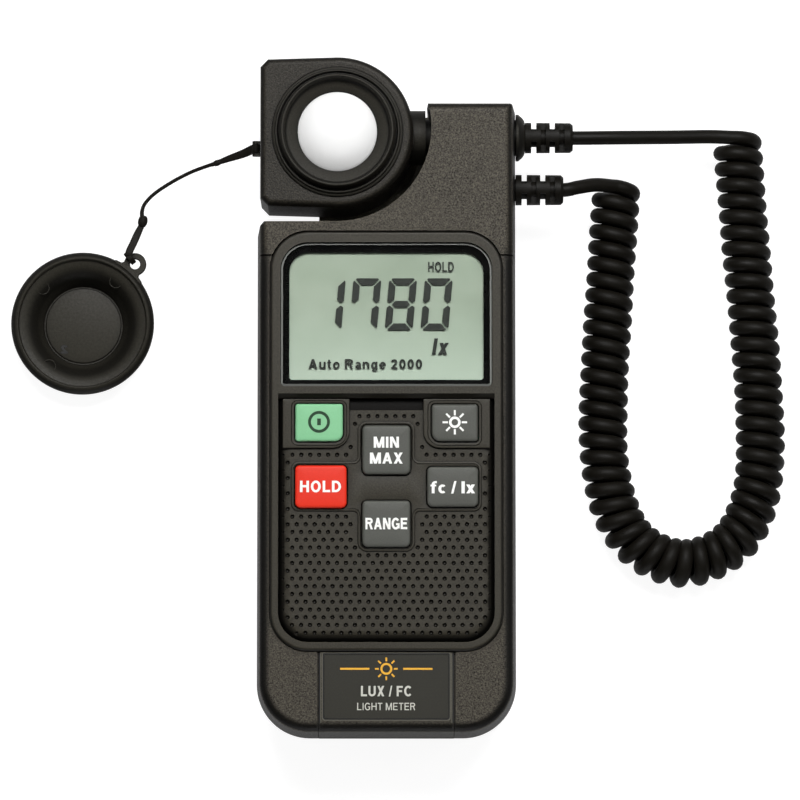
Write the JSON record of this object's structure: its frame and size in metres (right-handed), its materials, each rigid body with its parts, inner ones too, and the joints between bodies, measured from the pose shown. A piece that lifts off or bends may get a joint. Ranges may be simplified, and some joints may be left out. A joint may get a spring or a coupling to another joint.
{
  "type": "light meter",
  "caption": "Handheld light meter with swivelling sensor head, display, press keys, coiled sensor cable and a tethered dome cap.",
  "frame": {"origin": "centre of the body's flat rear face, on which the meter lies", "axes": "+Z out of the display face, +X to the right seen from the front, +Y towards the sensor head"},
  "size_m": [0.2056, 0.1789, 0.0374],
  "materials": {
    "case_dark": "moulded ABS with a fine spark grain",
    "panel_dark": "moulded ABS, fine grain",
    "collar_dark": "moulded ABS, smooth satin",
    "cap_plastic": "moulded plastic, satin",
    "label_black": "printed foil, satin",
    "key_grey": "silicone rubber key, satin",
    "key_green": "silicone rubber key, satin",
    "key_red": "silicone rubber key, satin",
    "silicone_grey": "silicone rubber",
    "clear_window": "polished clear acrylic",
    "window_mask": "black print behind the window",
    "lcd_green": "reflective twisted-nematic display",
    "diffuser_plastic": "white light guide",
    "board_green": "solder mask over glass laminate",
    "component_black": "epoxy packages",
    "screw_steel": "zinc-plated steel",
    "battery_can": "plain printed steel jacket",
    "snap_black": "soft vinyl",
    "wire_jacket": "PVC insulation",
    "dome_white": "opal acrylic, fine matt",
    "filter_glass": "green correction filter",
    "pad_felt": "pressed felt",
    "cable_rubber": "smooth polyurethane jacket",
    "lanyard_nylon": "thin black nylon"
  },
  "bodies": {
    "meter_body": {"rear_cover": "case_dark", "lower_front_frame": "case_dark", "upper_front_cover": "case_dark", "rear_label": "label_black", "case_screws": "screw_steel", "battery": "battery_can", "battery_snap": "snap_black", "battery_leads": "wire_jacket", "panel_bezel": "panel_dark", "keypad_faceplate": "panel_dark", "keypad_mat": "silicone_grey", "display_lens": "clear_window", "display_mask": "window_mask", "lcd_glass": "lcd_green", "backlight_panel": "diffuser_plastic", "contact_strips": "silicone_grey", "main_board": "board_green", "board_components": "component_black", "board_screws": "screw_steel", "friction_pad": "pad_felt", "lower_strain_relief": "cable_rubber", "coiled_cable": "cable_rubber"},
    "sensor_head": {"head_front_shell": "case_dark", "head_rear_shell": "case_dark", "head_screws": "screw_steel", "sensor_collar": "collar_dark", "diffuser_dome": "dome_white", "optical_filter": "filter_glass", "photodiode": "screw_steel", "sensor_board": "board_green", "sensor_leads": "wire_jacket", "swivel_shaft": "collar_dark", "shaft_clip": "screw_steel", "shaft_end_boss": "collar_dark", "upper_strain_relief": "cable_rubber"},
    "lanyard": {"lanyard_head_loop": "lanyard_nylon", "lanyard_cord": "lanyard_nylon", "lanyard_crimps": "cap_plastic", "lanyard_cap_loop": "lanyard_nylon"},
    "sensor_cap": {"sensor_cap": "cap_plastic"},
    "battery_end_cap": {"battery_end_cap": "case_dark", "name_label": "label_black"},
    "key_power": {"key_power": "key_green"},
    "key_backlight": {"key_backlight": "key_grey"},
    "key_min_max": {"key_min_max": "key_grey"},
    "key_hold": {"key_hold": "key_red"},
    "key_units": {"key_units": "key_grey"},
    "key_range": {"key_range": "key_grey"}
  },
  "joints": [
    {"name": "head_swivel", "type": "hinge", "parent": "meter_body", "child": "sensor_head", "pos_m": [0, 0.0755, 0.019], "axis": [1, 0, 0], "range_deg": [-180, 90]},
    {"name": "lanyard_swing", "type": "hinge", "parent": "sensor_head", "child": "lanyard", "pos_m": [-0.0346, 0.0729, 0.017], "axis": [0, 1, 0], "range_deg": [-40, 80]},
    {"name": "cap_pivot", "type": "hinge", "parent": "lanyard", "child": "sensor_cap", "pos_m": [-0.0669, 0.0433, 0.0075], "axis": [0, 0, 1], "range_deg": [0, 75]},
    {"name": "end_cap_slide", "type": "slide", "parent": "meter_body", "child": "battery_end_cap", "axis": [0, -1, 0], "range_m": [0, 0.03]},
    {"name": "key_power_press", "type": "slide", "parent": "meter_body", "child": "key_power", "axis": [0, 0, -1], "range_m": [0, 0.001], "stiffness_N_per_m": 600},
    {"name": "key_backlight_press", "type": "slide", "parent": "meter_body", "child": "key_backlight", "axis": [0, 0, -1], "range_m": [0, 0.001], "stiffness_N_per_m": 600},
    {"name": "key_min_max_press", "type": "slide", "parent": "meter_body", "child": "key_min_max", "axis": [0, 0, -1], "range_m": [0, 0.001], "stiffness_N_per_m": 600},
    {"name": "key_hold_press", "type": "slide", "parent": "meter_body", "child": "key_hold", "axis": [0, 0, -1], "range_m": [0, 0.001], "stiffness_N_per_m": 600},
    {"name": "key_units_press", "type": "slide", "parent": "meter_body", "child": "key_units", "axis": [0, 0, -1], "range_m": [0, 0.001], "stiffness_N_per_m": 600},
    {"name": "key_range_press", "type": "slide", "parent": "meter_body", "child": "key_range", "axis": [0, 0, -1], "range_m": [0, 0.001], "stiffness_N_per_m": 600}
  ]
}
